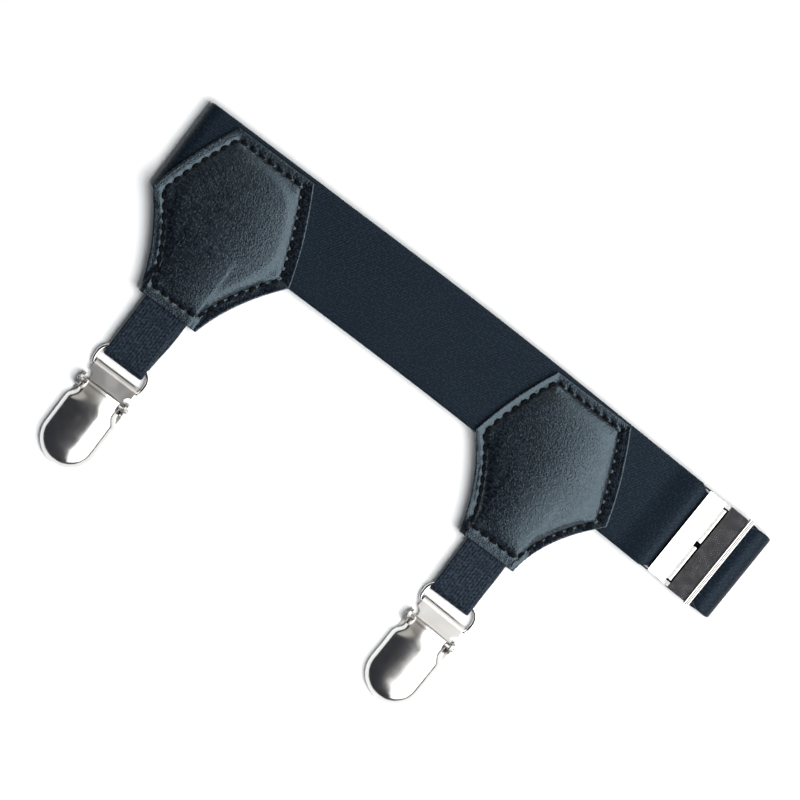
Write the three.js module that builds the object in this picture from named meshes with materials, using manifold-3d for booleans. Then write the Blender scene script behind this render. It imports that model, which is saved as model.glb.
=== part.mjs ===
// Sock suspender: an elastic calf band, closed by a hook and slide, with two leather patches.
// Each patch holds a short doubled strap, a wire ring and a lever clip that grips the sock.
// Millimetres, +Z up. It lies flat: the band's back layer is on the surface, the layer with the
// patches faces up, X runs along the band and the clips point to -Y.
import * as THREE from 'three';
import Module from 'manifold-3d';
import { mergeVertices } from 'three/addons/utils/BufferGeometryUtils.js';

// Driving dimensions
const GAP = 0.3;
const BAND = {
  length: 177.5, halfWidth: 13, wall: 1.3, legGap: 4.6, centreY: 12.9,
  bendStart: 65, bendEnd: 115, bendAngle: 0.035, threadedHalfWidth: 12,
};
const HOOK = {
  barX: 155.4, barZ: 6, barRadius: 0.7, halfWidth: 12.8, arm: 0.5, sheet: 0.7, plateStart: 158,
  plateTop: 7.2, foldX: 163, foldCorner: 0.5, legEnd: 160, tongueInner: 0.75, tongueOuter: 11.1,
};
const SLIDE = {
  plateStart: 164.7, plateEnd: 170.6, plateZ: 6.4, sheet: 0.8, halfWidth: 12.8,
  catchStart: 161.3, catchEnd: 162.9, catchZ: 5, web: 1.2,
  tilt: 0.12, barX: 168, barZ: 3.9, barRadius: 0.6, cheek: 0.5, lipHeight: 0.8, lipOverhang: 0.5,
};
const LEATHER = {
  wall: 1.2, pad: 1.6, seam: 2.6, padRamp: 4.5, backStart: 3.2, cornerY: 0.2, upperBow: 0.85,
  channelHalf: 7,
};
const STRAP = { halfWidth: 5.9, wall: 0.8, startY: -2, loopStart: -26 };
const RING = { wire: 0.55, halfWidth: 7.45, topCorner: 3, bottomCorner: 0.9, height: 6.6 };
const CLIP = {
  sheet: 0.7, rollHalf: 6.4, rollRadius: 1.5, pinDrop: 5.1, pinZ: 3.1, pinRadius: 0.6,
  pinHalf: 7.8, neckHalf: 5, earRadius: 1.9, earInner: 6.5, earOuter: 7.15,
  collarHalf: 6.15, collarRadius: 1.6, coverHalf: 7.6, coverTop: 5.6, coverRim: 1.1,
  coverStart: -0.75, shoulderStart: 2.4, shoulderEnd: 5.5, ridgeEnd: 7, toeStart: 13.9,
  toe: 21.2, crown: 2.6, teeth: 5, toothPitch: 1.7, flapEnd: 1.1, flapTop: 2.55,
};
// One row for each patch with its strap, ring and clip, in the band's plane. A patch has six
// corners: top, corner and bottom give the X of its left and right ones.
const SIDES = [
  { side: 'left', topY: 24.75, bottomY: -22.8, top: [9.7, 33], corner: [1, 43.75],
    bottom: [13.85, 31.45], lowerBow: [1.7, 1.7], strapX: 21.9, foldY: -40.8, underShift: 0.9,
    clipX: 22.2, rollY: -44.1, clipTurn: 0 },
  { side: 'right', topY: 23.9, bottomY: -22.8, top: [110, 132.8], corner: [102.1, 142.9],
    bottom: [114.15, 130.95], lowerBow: [1.7, 2.5], strapX: 122.8, foldY: -38.65, underShift: 0.2,
    clipX: 123.7, rollY: -42.35, clipTurn: -0.035 },
];

const frontZ = BAND.wall * 1.5 + BAND.legGap;
const wasm = await Module();
wasm.setup();

const elastic = { color: 0x14181f, roughness: 0.9, metalness: 0 };
const leather = { color: 0x1b1f27, roughness: 0.5, metalness: 0 };
const nickel = { color: 0xc9c6c0, roughness: 0.22, metalness: 1 };

function mesh(name, geometry, look) {
  const piece = new THREE.Mesh(geometry, new THREE.MeshStandardMaterial(look));
  piece.name = name;
  return piece;
}

// Solids from plain geometries, joined and cut

function toSolid(geometry) {
  const bare = geometry.clone();
  bare.deleteAttribute('normal');
  bare.deleteAttribute('uv');
  const welded = mergeVertices(bare, 1e-4);
  return new wasm.Manifold(new wasm.Mesh({
    numProp: 3,
    vertProperties: new Float32Array(welded.attributes.position.array),
    triVerts: new Uint32Array(welded.index.array),
  }));
}

function toGeometry(solid) {
  const { vertProperties, triVerts, numProp } = solid.getMesh();
  const geometry = new THREE.BufferGeometry();
  const positions = new Float32Array((vertProperties.length / numProp) * 3);
  for (let i = 0; i < positions.length / 3; i += 1) {
    positions.set(vertProperties.slice(i * numProp, i * numProp + 3), i * 3);
  }
  geometry.setAttribute('position', new THREE.BufferAttribute(positions, 3));
  geometry.setIndex(new THREE.BufferAttribute(new Uint32Array(triVerts), 1));
  geometry.computeVertexNormals();
  return geometry;
}

function joined(geometries) {
  const solids = geometries.map(toSolid);
  return solids.slice(1).reduce((sum, solid) => sum.add(solid), solids[0]);
}

// A profile drawn in the X-Z plane and carried along Y from y0 to y1
function carried(profile, y0, y1, curveSegments = 8) {
  const geometry = new THREE.ExtrudeGeometry(profile, {
    depth: y1 - y0, bevelEnabled: false, curveSegments });
  geometry.rotateX(Math.PI / 2);
  geometry.translate(0, y1, 0);
  return geometry;
}

function polygon(points) {
  return new THREE.Shape(points.map(([a, b]) => new THREE.Vector2(a, b)));
}

// A round bar along Y
function roundBar(x, z, radius, y0, y1, sides = 12) {
  const geometry = new THREE.CylinderGeometry(radius, radius, y1 - y0, sides);
  geometry.translate(x, (y0 + y1) / 2, z);
  return geometry;
}

// A closed body from its points and triangles, turned so that its faces point out
function closedBody(points, index) {
  const volume = index.reduce((sum, _, i) => {
    if (i % 3) return sum;
    const [a, b, c] = [points[index[i]], points[index[i + 1]], points[index[i + 2]]];
    return sum + a.dot(new THREE.Vector3().crossVectors(b, c));
  }, 0);
  const geometry = new THREE.BufferGeometry();
  const places = points.flatMap((p) => [p.x, p.y, p.z]);
  geometry.setAttribute('position', new THREE.Float32BufferAttribute(places, 3));
  geometry.setIndex(volume > 0 ? index : index.toReversed());
  geometry.computeVertexNormals();
  return geometry;
}

// A closed sheet: upper and lower are grids of points of the same size, rim walls join them
function sheet(upper, lower) {
  const rows = upper.length;
  const columns = upper[0].length;
  const points = [...upper.flat(), ...lower.flat()];
  const at = (layer, row, column) => layer * rows * columns + row * columns + column;
  const index = [];
  const quad = (a, b, c, d) => index.push(a, b, c, a, c, d);
  for (let r = 0; r < rows - 1; r += 1) {
    for (let c = 0; c < columns - 1; c += 1) {
      quad(at(0, r, c), at(0, r + 1, c), at(0, r + 1, c + 1), at(0, r, c + 1));
      quad(at(1, r, c), at(1, r, c + 1), at(1, r + 1, c + 1), at(1, r + 1, c));
    }
    quad(at(0, r, 0), at(1, r, 0), at(1, r + 1, 0), at(0, r + 1, 0));
    const last = columns - 1;
    quad(at(0, r + 1, last), at(1, r + 1, last), at(1, r, last), at(0, r, last));
  }
  for (let c = 0; c < columns - 1; c += 1) {
    quad(at(0, 0, c + 1), at(1, 0, c + 1), at(1, 0, c), at(0, 0, c));
    quad(at(0, rows - 1, c), at(1, rows - 1, c), at(1, rows - 1, c + 1), at(0, rows - 1, c + 1));
  }
  return closedBody(points, index);
}

// A flat tape that follows a route of 2D curves (along, up); place turns along, across and up
// into a point, and half gives the tape's half width at a place on the route
function tape(route, wall, half, place) {
  const stations = route.flatMap(({ curve, steps }, k) => {
    const fractions = Array.from({ length: steps + 1 }, (_, i) => i / steps).slice(k === 0 ? 0 : 1);
    return fractions.map((t) => ({ point: curve.getPoint(t), tangent: curve.getTangent(t) }));
  });
  const layer = (offset) => stations.map(({ point, tangent }) => {
    const along = point.x - tangent.y * offset;
    const up = point.y + tangent.x * offset;
    return [-1, 1].map((end) => place(along, end * half(point), up, point));
  });
  return sheet(layer(-wall / 2), layer(wall / 2));
}

const line = (x0, z0, x1, z1) => new THREE.LineCurve(
  new THREE.Vector2(x0, z0), new THREE.Vector2(x1, z1));
const arc = (x, z, radius, from, to) => new THREE.EllipseCurve(x, z, radius, radius, from, to, to < from);
const sweep = (...values) => new THREE.CubicBezierCurve(
  ...[0, 2, 4, 6].map((i) => new THREE.Vector2(values[i], values[i + 1])));

// The band's centre line bends slightly in its plane; a point is given along it and across it
function bandPoint(along, across, up) {
  const { bendStart, bendEnd, bendAngle, centreY } = BAND;
  const radius = (bendEnd - bendStart) / bendAngle;
  const angle = THREE.MathUtils.clamp((along - bendStart) / radius, 0, bendAngle);
  const rest = Math.min(along, bendStart) + Math.max(along - bendEnd, 0) * Math.cos(angle);
  return new THREE.Vector3(
    rest + radius * Math.sin(angle) + across * Math.sin(angle),
    centreY - radius * (1 - Math.cos(angle)) - Math.max(along - bendEnd, 0) * Math.sin(angle)
      + across * Math.cos(angle),
    up);
}

// The elastic band: from its tail under the hook, round the hook's bar, along the front layer,
// round the left fold, back under, up round the right fold and round the slide's bar
function elasticBand() {
  const { wall, length, legGap, halfWidth, threadedHalfWidth } = BAND;
  const backZ = wall / 2;
  const foldRadius = (frontZ - backZ) / 2;
  const leftX = wall / 2 + foldRadius;
  const rightX = length - leftX;
  const hookWrap = HOOK.barRadius + GAP + wall / 2;
  const slideWrap = SLIDE.barRadius + GAP + wall / 2;
  const hookTop = HOOK.barZ + hookWrap;
  const hookUnder = HOOK.barZ - hookWrap;
  const slideTop = SLIDE.barZ + slideWrap;
  const riseStart = HOOK.barX - 11.8;
  const settled = rightX - 3.6;
  const underFront = frontZ - wall;
  const route = [
    { curve: sweep(HOOK.barX - 6.4, underFront - 0.05, HOOK.barX - 4, underFront,
      HOOK.barX - 2.5, hookUnder, HOOK.barX, hookUnder), steps: 5 },
    { curve: arc(HOOK.barX, HOOK.barZ, hookWrap, -Math.PI / 2, Math.PI / 2), steps: 10 },
    { curve: sweep(HOOK.barX, hookTop, HOOK.barX - 4, hookTop,
      riseStart + 4, frontZ, riseStart, frontZ), steps: 8 },
    { curve: line(riseStart, frontZ, BAND.bendEnd, frontZ), steps: 1 },
    { curve: line(BAND.bendEnd, frontZ, BAND.bendStart, frontZ), steps: 4 },
    { curve: line(BAND.bendStart, frontZ, leftX, frontZ), steps: 1 },
    { curve: arc(leftX, backZ + foldRadius, foldRadius, Math.PI / 2, 3 * Math.PI / 2), steps: 10 },
    { curve: line(leftX, backZ, BAND.bendStart, backZ), steps: 1 },
    { curve: line(BAND.bendStart, backZ, BAND.bendEnd, backZ), steps: 4 },
    { curve: line(BAND.bendEnd, backZ, rightX, backZ), steps: 1 },
    { curve: arc(rightX, backZ + foldRadius, foldRadius, -Math.PI / 2, Math.PI / 2), steps: 10 },
    { curve: sweep(rightX, frontZ, rightX - 1.8, frontZ,
      rightX - 2, slideTop, settled, slideTop), steps: 5 },
    { curve: line(settled, slideTop, SLIDE.barX, slideTop), steps: 1 },
    { curve: arc(SLIDE.barX, SLIDE.barZ, slideWrap, Math.PI / 2, 3 * Math.PI / 2), steps: 8 },
    { curve: line(SLIDE.barX, SLIDE.barZ - slideWrap, rightX - 1.2, SLIDE.barZ - slideWrap), steps: 1 },
  ];
  const nearHook = (p) => p.x > HOOK.barX + 0.5 * hookWrap && p.x < HOOK.foldX;
  const nearSlide = (p) => p.x > HOOK.foldX && p.x < rightX - 1 && p.y > legGap / 2;
  const half = (p) => {
    if (nearHook(p) || nearSlide(p)) return threadedHalfWidth;
    return p.x > rightX - 1 ? halfWidth - 0.25 : halfWidth;
  };
  return mesh('elastic_band', tape(route, wall, half, bandPoint), elastic);
}

// The buckle's two parts are drawn with X along the band and Y across it, then laid on the band
function laidOnBand(name, geometry) {
  const piece = mesh(name, geometry, nickel);
  const start = bandPoint(BAND.bendEnd, 0, 0);
  geometry.translate(-BAND.bendEnd, 0, 0);
  piece.position.copy(start);
  piece.rotation.z = -BAND.bendAngle;
  return piece;
}

// Hook half of the buckle: a bar that the band is sewn round, a wide plate that slopes down
// a little, and two tongues bent sharply at its edge and folded back under it
function buckleHook() {
  const { barX, barZ, barRadius, halfWidth, arm, sheet: wall } = HOOK;
  const { plateStart, plateTop, foldX, foldCorner, legEnd } = HOOK;
  const foldOuter = SLIDE.sheet / 2 + GAP + wall;
  const foldZ = SLIDE.catchZ + SLIDE.sheet / 2;
  const plate = polygon([
    [plateStart, plateTop - wall], [foldX, foldZ + foldOuter - wall],
    [foldX, foldZ + foldOuter], [plateStart, plateTop]]);
  const tongue = new THREE.Shape();
  tongue.moveTo(foldX - 1, foldZ + foldOuter - wall);
  tongue.lineTo(foldX, foldZ + foldOuter - wall);
  tongue.absarc(foldX, foldZ, foldOuter - wall, Math.PI / 2, -Math.PI / 2, true);
  tongue.lineTo(legEnd, foldZ - foldOuter + wall);
  tongue.lineTo(legEnd, foldZ - foldOuter);
  tongue.lineTo(foldX, foldZ - foldOuter);
  tongue.absarc(foldX, foldZ, foldOuter, -Math.PI / 2, 0, false);
  const inFromFold = foldOuter - foldCorner;
  tongue.absarc(foldX + inFromFold, foldZ + inFromFold, foldCorner, 0, Math.PI / 2, false);
  tongue.lineTo(foldX - 1, foldZ + foldOuter);
  const armProfile = polygon([
    [barX - 0.5, barZ - 0.4], [plateStart + 0.6, barZ - 0.4 + wall],
    [plateStart + 0.6, barZ + 0.9], [barX - 0.5, barZ + 0.4]]);
  const pieces = [
    carried(plate, -halfWidth + 0.2, halfWidth - 0.2),
    roundBar(barX, barZ, barRadius, -halfWidth, halfWidth),
  ];
  for (const end of [-1, 1]) {
    const [y0, y1] = [end * (halfWidth - arm), end * halfWidth].sort((a, b) => a - b);
    const [t0, t1] = [end * HOOK.tongueInner, end * HOOK.tongueOuter].sort((a, b) => a - b);
    pieces.push(carried(armProfile, y0, y1), carried(tongue, t0, t1, 6));
  }
  return laidOnBand('buckle_hook', toGeometry(joined(pieces)));
}

// Slide half: a low catch bar for the tongues, the face plate that leans towards the hook, a
// raised double lip, and a bar between two cheeks that the band's other end is looped round
function buckleSlide() {
  const { plateStart, plateEnd, plateZ, sheet: wall, halfWidth } = SLIDE;
  const { catchStart, catchEnd, catchZ, web } = SLIDE;
  const { barX, barZ, barRadius, cheek, lipHeight, lipOverhang } = SLIDE;
  const underAt = (x) => plateZ + Math.tan(SLIDE.tilt) * (x - barX);
  const face = polygon([
    [plateStart, underAt(plateStart)], [plateEnd, underAt(plateEnd)],
    [plateEnd, underAt(plateEnd) + wall], [plateStart, underAt(plateStart) + wall]]);
  const catchBar = polygon([
    [catchStart, catchZ], [catchEnd, catchZ], [catchEnd, catchZ + wall], [catchStart, catchZ + wall]]);
  const webEnd = plateStart + 1.1;
  const webProfile = polygon([
    [catchStart, catchZ], [plateStart + 0.4, catchZ], [webEnd, underAt(webEnd)],
    [webEnd, underAt(webEnd) + wall], [plateStart, underAt(plateStart) + wall],
    [plateStart, catchZ + wall], [catchStart, catchZ + wall]]);
  const under = underAt(plateEnd);
  const top = under + wall;
  const lip = new THREE.Shape();
  lip.moveTo(plateEnd - 0.8, under + 0.1);
  lip.lineTo(plateEnd, under + 0.2);
  lip.lineTo(plateEnd + 1, under + 0.55);
  lip.lineTo(plateEnd + 1, top + 0.5 * lipHeight);
  lip.quadraticCurveTo(plateEnd + 0.6, top + 1.4 * lipHeight, plateEnd + 0.2, top + 0.5 * lipHeight);
  lip.quadraticCurveTo(plateEnd - 0.3, top + 1.4 * lipHeight, plateEnd - 0.8, top + 0.2 * lipHeight);
  const cheekProfile = polygon([
    [barX - 1.2, barZ - 0.8], [barX + 1.2, barZ - 0.8],
    [barX + 1.6, plateZ + 0.3], [barX - 1.4, plateZ + 0.3]]);
  const pieces = [
    carried(face, -halfWidth, halfWidth),
    carried(catchBar, -halfWidth, halfWidth),
    carried(lip, -halfWidth - lipOverhang, halfWidth + lipOverhang, 4),
    roundBar(barX, barZ, barRadius, -halfWidth, halfWidth),
  ];
  for (const end of [-1, 1]) {
    const [w0, w1] = [end * (halfWidth - web), end * halfWidth].sort((a, b) => a - b);
    const [c0, c1] = [end * (halfWidth - cheek), end * halfWidth].sort((a, b) => a - b);
    pieces.push(carried(webProfile, w0, w1), carried(cheekProfile, c0, c1));
  }
  return laidOnBand('buckle_slide', toGeometry(joined(pieces)));
}

// Patches and straps sink from the band's front layer towards the surface
function sagZ(y) {
  const slope = 0.11;
  const onset = 8;
  const below = Math.max(-y, 0);
  const eased = below < onset ? (below * below) / (2 * onset) : below - onset / 2;
  return frontZ - slope * eased;
}

// X of a patch's left (0) or right (1) edge: bowed out above the side corner, in below it
function patchEdge(row, y, end) {
  const { cornerY, upperBow } = LEATHER;
  const upper = y > cornerY;
  const t = upper ? (y - cornerY) / (row.topY - cornerY) : (cornerY - y) / (cornerY - row.bottomY);
  const bow = 4 * t * (1 - t) * (upper ? upperBow : -row.lowerBow[end]);
  const side = upper ? row.top[end] : row.bottom[end];
  return THREE.MathUtils.lerp(row.corner[end], side, t) + (end ? bow : -bow);
}

// How far a leather layer's inner face lies from the middle: over the band, over the strap's
// channel below it, and closed against the other leather elsewhere
function innerReach(row, x, y) {
  const overBand = BAND.wall / 2 + GAP;
  const overStrap = STRAP.wall + 1.5 * GAP;
  const closed = GAP / 2;
  const below = THREE.MathUtils.smoothstep(-y, 1.6, 4.5);
  const inChannel = Math.abs(x - row.strapX) <= LEATHER.channelHalf + 0.01;
  if (inChannel) return THREE.MathUtils.lerp(overBand, overStrap, Math.min(1, 2 * below));
  return THREE.MathUtils.lerp(overBand, closed, below);
}

// One leather layer of a patch, facing up (1) or down (-1); the lower one stays inside the fold
function patchLayer(row, facing) {
  const { wall, pad, seam, padRamp, backStart, channelHalf } = LEATHER;
  const rowsDown = [0, 1.8, 3.4, 7.5, 12.5, 18, 23.3, 26.4, 29.3, 33.5, 38, 42, 44.2, 45.9];
  const rows = [...rowsDown.map((d) => row.topY - d), row.bottomY];
  const spread = [0, 0.35, 0.7, 1];
  const inner = [];
  const outer = [];
  for (const y of rows) {
    const [left, right] = [patchEdge(row, y, 0), patchEdge(row, y, 1)];
    const start = facing > 0 ? left : Math.max(left, backStart);
    const xs = [
      ...spread.slice().reverse().map((t) => THREE.MathUtils.lerp(row.strapX - channelHalf, start, t)),
      row.strapX - channelHalf / 2, row.strapX, row.strapX + channelHalf / 2,
      ...spread.map((t) => THREE.MathUtils.lerp(row.strapX + channelHalf, right, t)),
    ];
    inner.push(xs.map((x) => new THREE.Vector3(x, y, sagZ(y) + facing * innerReach(row, x, y))));
    outer.push(xs.map((x) => {
      const inset = Math.min(row.topY - y, y - row.bottomY, 0.9 * (x - left), 0.9 * (right - x));
      const dome = facing > 0 ? pad * THREE.MathUtils.smoothstep(inset, seam - 0.6, seam + padRamp) : 0;
      const reach = Math.max(innerReach(row, x, y),
        facing > 0 ? (BAND.wall / 2 + GAP) * THREE.MathUtils.smoothstep(inset, 0, seam + 2) : 0);
      return new THREE.Vector3(x, y, sagZ(y) + facing * (reach + wall + dome));
    }));
  }
  return sheet(outer, inner);
}

// The strap is one tape, doubled round the ring, with both ends sewn into the patch; its lower
// layer lies slipped to one side there and comes back into line at the ring
function strap(row) {
  const { halfWidth, wall, startY, loopStart } = STRAP;
  const loopHalf = RING.wire + GAP + wall / 2;
  const flatHalf = (wall + GAP) / 2;
  const foldCentre = row.foldY + wall / 2 + loopHalf;
  const { lerp, smoothstep } = THREE.MathUtils;
  const reach = (y) => lerp(flatHalf, loopHalf, smoothstep(-y, -loopStart, -foldCentre - 2));
  const rows = [startY, -4, -6, -9, -16, loopStart, -28, -30, -32, -34, foldCentre + 2];
  const layer = (side) => rows.map((y) => new THREE.Vector2(-y, sagZ(y) + side * reach(y)));
  const points = [...layer(1)];
  const foldZ = sagZ(foldCentre);
  for (let i = 0; i <= 8; i += 1) {
    const angle = Math.PI / 2 - (i / 8) * Math.PI;
    points.push(new THREE.Vector2(
      -foldCentre + loopHalf * Math.cos(angle), foldZ + loopHalf * Math.sin(angle)));
  }
  points.push(...layer(-1).reverse());
  const route = points.slice(1).map((p, i) => ({ curve: new THREE.LineCurve(points[i], p), steps: 1 }));
  const place = (along, across, up, point) => {
    const slipped = point.y < sagZ(-point.x) ? 1 - smoothstep(point.x, -loopStart, -foldCentre) : 0;
    return new THREE.Vector3(row.strapX + across + row.underShift * slipped, -along, up);
  };
  return tape(route, wall, () => halfWidth, place);
}

// Round wire bent to a rounded rectangle: its lower bar turns in the clip's rolled eye
function ring(row) {
  const { wire, halfWidth, topCorner, bottomCorner, height } = RING;
  const outline = new THREE.Shape();
  outline.moveTo(-halfWidth + bottomCorner, 0);
  outline.lineTo(halfWidth - bottomCorner, 0);
  outline.absarc(halfWidth - bottomCorner, bottomCorner, bottomCorner, -Math.PI / 2, 0, false);
  outline.lineTo(halfWidth, height - topCorner);
  outline.absarc(halfWidth - topCorner, height - topCorner, topCorner, 0, Math.PI / 2, false);
  outline.lineTo(-halfWidth + topCorner, height);
  outline.absarc(-halfWidth + topCorner, height - topCorner, topCorner, Math.PI / 2, Math.PI, false);
  outline.lineTo(-halfWidth, bottomCorner);
  outline.absarc(-halfWidth + bottomCorner, bottomCorner, bottomCorner, Math.PI, 1.5 * Math.PI, false);
  const flat = outline.getPoints(5).slice(0, -1)
    .filter((p, i, all) => i === 0 || p.distanceTo(all[i - 1]) > 0.05);
  const sides = 8;
  const index = [];
  const centre = (i) => flat[(i + flat.length) % flat.length];
  const points = [];
  for (let i = 0; i < flat.length; i += 1) {
    const tangent = centre(i + 1).clone().sub(centre(i - 1)).normalize();
    for (let k = 0; k < sides; k += 1) {
      const angle = (2 * Math.PI * k) / sides;
      const out = wire * Math.cos(angle);
      points.push(new THREE.Vector3(
        centre(i).x + tangent.y * out, centre(i).y - tangent.x * out, wire * Math.sin(angle)));
    }
  }
  const count = flat.length;
  for (let i = 0; i < count; i += 1) {
    for (let k = 0; k < sides; k += 1) {
      const [a, b] = [i * sides + k, i * sides + ((k + 1) % sides)];
      const [c, d] = [((i + 1) % count) * sides + k, ((i + 1) % count) * sides + ((k + 1) % sides)];
      index.push(a, c, d, a, d, b);
    }
  }
  const piece = mesh(`strap_ring_${row.side}`, closedBody(points, index), nickel);
  const topY = row.rollY + height;
  piece.position.set(row.clipX, row.rollY, CLIP.rollRadius);
  piece.rotation.x = Math.atan2(sagZ(topY) - CLIP.rollRadius, height);
  return piece;
}

// Clip drawn with its pin along X at the origin, the toe towards -Y and the surface at -pinZ
function coverHalfAt(s) {
  const { collarHalf, coverHalf, shoulderStart, shoulderEnd, toeStart, toe } = CLIP;
  if (s > toeStart) return coverHalf * Math.sqrt(Math.max(1 - ((s - toeStart) / (toe - toeStart)) ** 2, 0));
  const widened = THREE.MathUtils.smoothstep(s, shoulderStart, shoulderEnd);
  return THREE.MathUtils.lerp(collarHalf, coverHalf, widened);
}

// The domed cover, its collar rolled round the pin; the ridge rises from the collar on
function clipCover(row) {
  const { pinZ, collarRadius, coverTop, coverRim, coverStart, crown, sheet: wall } = CLIP;
  const { ridgeEnd, toeStart, toe, pinRadius, pinHalf } = CLIP;
  const toeAngles = [0.25, 0.5, 0.75, 1, 1.2, 1.35, 1.45];
  const stations = [coverStart, 0, 1, 2.4, 3.4, 4.4, 5.5, 8, 11, toeStart];
  const crossings = Array.from({ length: 13 }, (_, i) => (i / 12) * Math.PI);
  const ridge = (s) => {
    if (s < 0) return Math.sqrt(collarRadius ** 2 - s ** 2);
    const risen = Math.sin((Math.min(s / ridgeEnd, 1) * Math.PI) / 2);
    return THREE.MathUtils.lerp(collarRadius, coverTop - pinZ, risen);
  };
  const shell = (inset) => {
    const rim = coverRim - pinZ;
    const section = (s, half, height) => crossings.map((angle) => {
      const [c, d] = [Math.cos(angle), Math.sin(angle)];
      const x = -Math.sign(c) * Math.abs(c) ** (2 / crown) * half;
      return new THREE.Vector3(x, -s, rim + d ** (2 / crown) * height);
    });
    const body = stations.map((s) => section(s, coverHalfAt(s) - inset, ridge(s) - rim - inset));
    const end = toeAngles.map((angle) => section(
      toeStart + (toe - toeStart - inset) * Math.sin(angle),
      (CLIP.coverHalf - inset) * Math.cos(angle),
      (coverTop - coverRim - inset) * (1 - Math.sin(angle) ** crown) ** (1 / crown)));
    return [...body, ...end];
  };
  const pinHole = new THREE.CylinderGeometry(pinRadius + GAP, pinRadius + GAP, 2 * pinHalf, 12);
  pinHole.rotateZ(Math.PI / 2);
  const cover = toSolid(sheet(shell(0), shell(wall))).subtract(toSolid(pinHole));
  return mesh(`clip_cover_${row.side}`, toGeometry(cover), nickel);
}

// Base plate with a waisted neck, folded back over the ring's bar so that a flap ends in front
// of the pin, two ears for the pin and a row of teeth near the toe
function clipBase(row) {
  const { sheet: wall, rollHalf, rollRadius, pinDrop: rollY, pinZ, neckHalf } = CLIP;
  const { earRadius, earInner, earOuter, pinRadius, pinHalf, flapEnd, flapTop } = CLIP;
  const { toe, toeStart, coverHalf, teeth, toothPitch } = CLIP;
  const plate = new THREE.Shape();
  plate.moveTo(-rollHalf, rollY);
  plate.lineTo(-rollHalf, rollY - 1.8);
  plate.quadraticCurveTo(-neckHalf, rollY - 2.2, -neckHalf, rollY - 3.2);
  plate.quadraticCurveTo(-neckHalf, 1.2, -earOuter, 0.9);
  plate.lineTo(-earOuter, -4.4);
  plate.lineTo(-coverHalf + 0.3, -5.6);
  plate.lineTo(-coverHalf + 0.3, -toeStart);
  plate.absellipse(0, -toeStart, coverHalf - 0.3, toe - toeStart - 0.3, Math.PI, 2 * Math.PI, false, 0);
  plate.lineTo(coverHalf - 0.3, -5.6);
  plate.lineTo(earOuter, -4.4);
  plate.lineTo(earOuter, 0.9);
  plate.quadraticCurveTo(neckHalf, 1.2, neckHalf, rollY - 3.2);
  plate.quadraticCurveTo(neckHalf, rollY - 2.2, rollHalf, rollY - 1.8);
  plate.lineTo(rollHalf, rollY);
  const pressed = { depth: wall, bevelEnabled: false, curveSegments: 7 };
  const plateGeometry = new THREE.ExtrudeGeometry(plate, pressed);
  plateGeometry.translate(0, 0, -pinZ);
  const barAcross = (radius, half, y, z, sides) => {
    const geometry = new THREE.CylinderGeometry(radius, radius, 2 * half, sides);
    geometry.rotateZ(Math.PI / 2);
    geometry.translate(0, y, z);
    return geometry;
  };
  const flap = new THREE.Shape();
  flap.moveTo(-rollHalf, 0);
  flap.lineTo(-rollHalf, -1.8);
  flap.quadraticCurveTo(-neckHalf, -2.2, -neckHalf, -3.2);
  flap.lineTo(-neckHalf, flapEnd - rollY);
  flap.lineTo(neckHalf, flapEnd - rollY);
  flap.lineTo(neckHalf, -3.2);
  flap.quadraticCurveTo(neckHalf, -2.2, rollHalf, -1.8);
  flap.lineTo(rollHalf, 0);
  const flapGeometry = new THREE.ExtrudeGeometry(flap, pressed);
  flapGeometry.translate(0, 0, -wall);
  flapGeometry.rotateX(Math.atan2(2 * rollRadius - flapTop, rollY - flapEnd));
  flapGeometry.translate(0, rollY, 2 * rollRadius - pinZ);
  const pieces = [
    plateGeometry, flapGeometry, barAcross(rollRadius, rollHalf, rollY, rollRadius - pinZ, 16)];
  const tooth = polygon([[-0.6, 0], [0.6, 0], [0, 1.1]]);
  for (let i = 0; i < teeth; i += 1) {
    const geometry = carried(tooth, -0.35, 0.35);
    geometry.translate((i - (teeth - 1) / 2) * toothPitch, -toe + 2.4, wall - pinZ - 0.1);
    pieces.push(geometry);
  }
  for (const end of [-1, 1]) {
    const [x0, x1] = [end * earInner, end * earOuter].sort((a, b) => a - b);
    const ear = new THREE.Shape();
    ear.moveTo(-earRadius, -pinZ);
    ear.lineTo(earRadius, -pinZ);
    ear.lineTo(earRadius, 0);
    ear.absarc(0, 0, earRadius, 0, Math.PI, false);
    const geometry = new THREE.ExtrudeGeometry(ear, {
      depth: x1 - x0, bevelEnabled: false, curveSegments: 8 });
    geometry.rotateX(Math.PI / 2);
    geometry.rotateZ(Math.PI / 2);
    geometry.translate(x0, 0, 0);
    pieces.push(geometry);
  }
  const base = joined(pieces)
    .subtract(toSolid(barAcross(RING.wire + GAP, rollHalf + 1, rollY, rollRadius - pinZ, 12)))
    .subtract(toSolid(barAcross(pinRadius + GAP / 2, pinHalf + 1, 0, 0, 12)));
  return mesh(`clip_base_${row.side}`, toGeometry(base), nickel);
}

function clipPin(row) {
  const { pinRadius, pinHalf } = CLIP;
  const geometry = new THREE.CylinderGeometry(pinRadius, pinRadius, 2 * pinHalf, 12);
  geometry.rotateZ(Math.PI / 2);
  return mesh(`clip_pin_${row.side}`, geometry, nickel);
}

const garter = new THREE.Group();
garter.add(elasticBand(), buckleHook(), buckleSlide());
for (const row of SIDES) {
  garter.add(mesh(`patch_front_${row.side}`, patchLayer(row, 1), leather));
  garter.add(mesh(`patch_back_${row.side}`, patchLayer(row, -1), leather));
  garter.add(mesh(`clip_strap_${row.side}`, strap(row), elastic));
  garter.add(ring(row));
  const clip = new THREE.Group();
  clip.add(clipBase(row), clipCover(row), clipPin(row));
  clip.rotation.z = row.clipTurn;
  const eye = new THREE.Vector3(0, CLIP.pinDrop, 0);
  eye.applyAxisAngle(new THREE.Vector3(0, 0, 1), row.clipTurn);
  clip.position.set(row.clipX - eye.x, row.rollY - eye.y, CLIP.pinZ);
  garter.add(clip);
}

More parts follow.
